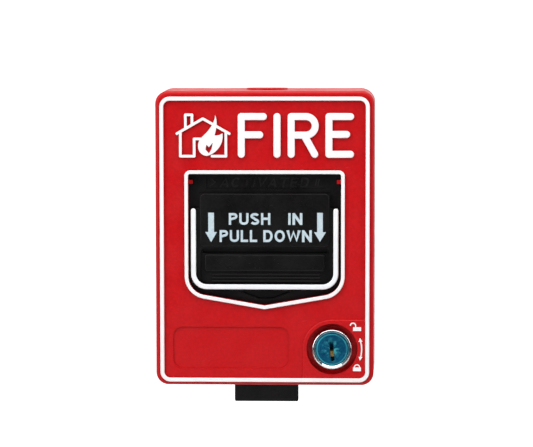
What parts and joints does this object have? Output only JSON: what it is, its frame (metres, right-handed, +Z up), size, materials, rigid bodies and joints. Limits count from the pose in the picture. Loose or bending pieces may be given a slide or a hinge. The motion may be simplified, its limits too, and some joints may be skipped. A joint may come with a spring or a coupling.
{
  "type": "manual call point",
  "caption": "Wall-mounted red manual call point with a black push-in, pull-down handle in a window, a key lock and a side-hinged cover.",
  "frame": {"origin": "centre of the flat rear face that lies on the wall", "axes": "+X right, +Z up, the front faces -Y and +Y points into the wall"},
  "size_m": [0.1048, 0.039, 0.15],
  "materials": {
    "red_shell": "finely textured moulded red, raised ribs and letters painted white",
    "bright_steel": "nickel-plated steel",
    "zinc_steel": "zinc-plated sheet steel",
    "spring_steel": "spring wire",
    "green_screw": "green-dyed steel",
    "switch_case": "moulded thermoset",
    "brass_parts": "plain brass",
    "terminal_plastic": "moulded terminal block",
    "lead_red": "insulated wire",
    "resistor_body": "lacquered resistor",
    "chrome_ring": "polished chrome",
    "dark_plastic": "moulded black nylon",
    "black_handle": "fine-textured moulded black, raised rim painted white",
    "plunger_white": "moulded acetal",
    "blue_plug": "blue anodised metal"
  },
  "bodies": {
    "station_box": {"back_box": "red_shell", "conduit_plug": "red_shell", "hinge_pins": "bright_steel", "lock_strike": "zinc_steel", "strike_screws": "bright_steel", "ground_screw": "green_screw"},
    "hinged_cover": {"cover": "red_shell", "guide_frame": "zinc_steel", "frame_screws": "bright_steel", "push_springs": "spring_steel", "microswitch_body": "switch_case", "microswitch_terminals": "brass_parts", "lever_pin": "bright_steel", "microswitch_screws": "bright_steel", "terminal_block": "terminal_plastic", "terminal_clamps": "brass_parts", "terminal_screws": "bright_steel", "switch_leads": "lead_red", "end_of_line_resistor": "resistor_body", "lock_body": "chrome_ring", "lock_nut": "zinc_steel"},
    "carriage": {"handle_carriage": "dark_plastic", "return_springs": "spring_steel", "latch_pivot": "bright_steel", "latch_spring": "spring_steel"},
    "handle": {"pull_handle": "black_handle"},
    "latch": {"latch_arm": "zinc_steel"},
    "switch_lever": {"microswitch_lever": "bright_steel"},
    "switch_plunger": {"microswitch_plunger": "plunger_white"},
    "key_plug": {"lock_plug": "blue_plug", "lock_wafers": "brass_parts", "lock_cam": "zinc_steel", "lock_cam_screw": "bright_steel"}
  },
  "joints": [
    {"name": "cover_hinge", "type": "hinge", "parent": "station_box", "child": "hinged_cover", "pos_m": [-0.04972, -0.0261, 0], "axis": [0, 0, -1], "range_deg": [0, 90]},
    {"name": "handle_push", "type": "slide", "parent": "hinged_cover", "child": "carriage", "axis": [0, 1, 0], "range_m": [0, 0.002], "stiffness_N_per_m": 400, "springref_m": -0.002, "deforming": ["push_springs"]},
    {"name": "handle_pull", "type": "slide", "parent": "carriage", "child": "handle", "axis": [0, 0, 1], "range_m": [0, 0.0088], "deforming": ["return_springs"]},
    {"name": "latch_swing", "type": "hinge", "parent": "carriage", "child": "latch", "pos_m": [0.002, -0.02685, 0.039], "axis": [0, 1, 0], "range_deg": [0, 6.9], "deforming": ["latch_spring"]},
    {"name": "switch_lever_swing", "type": "hinge", "parent": "hinged_cover", "child": "switch_lever", "pos_m": [0.022, -0.0155, 0.0074], "axis": [0, 1, 0], "range_deg": [0, 11.83]},
    {"name": "plunger_slide", "type": "slide", "parent": "hinged_cover", "child": "switch_plunger", "axis": [0, 0, 1], "range_m": [0, 0.001]},
    {"name": "lock_turn", "type": "hinge", "parent": "hinged_cover", "child": "key_plug", "pos_m": [0.0318, -0.025, -0.0521], "axis": [0, 1, 0], "range_deg": [0, 90]}
  ],
  "couplings": [
    {"joint": "latch_swing", "follows": "handle_pull", "rad_per_m": 13.685},
    {"joint": "switch_lever_swing", "follows": "handle_pull", "rad_per_m": 23.463},
    {"joint": "plunger_slide", "follows": "handle_pull", "ratio": 0.11364}
  ]
}
